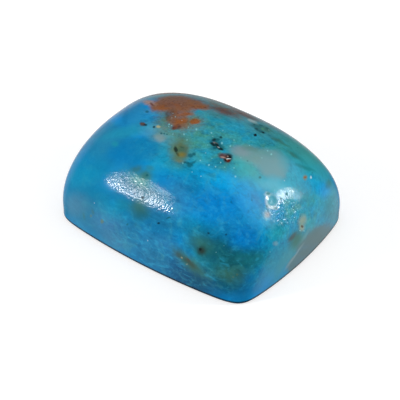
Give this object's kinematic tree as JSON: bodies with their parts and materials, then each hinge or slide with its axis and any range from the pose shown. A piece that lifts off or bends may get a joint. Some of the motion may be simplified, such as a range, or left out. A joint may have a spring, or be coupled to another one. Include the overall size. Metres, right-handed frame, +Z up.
{
  "type": "blue opal cushion cabochon",
  "caption": "Polished blue opal cushion cabochon: a rectangle with bowed sides and rounded corners, a flat back and a high dome.",
  "frame": {"origin": "middle of the flat back, which the stone rests on", "axes": "+Z up from the flat back to the apex of the dome, +X along the long way of the stone, +Y along its width; the side at -Y and the end at +X face the picture's camera"},
  "size_m": [0.02, 0.0158, 0.0091],
  "materials": {
    "opal": "polished"
  },
  "bodies": {
    "root": {"cabochon": "opal"}
  },
  "joints": []
}
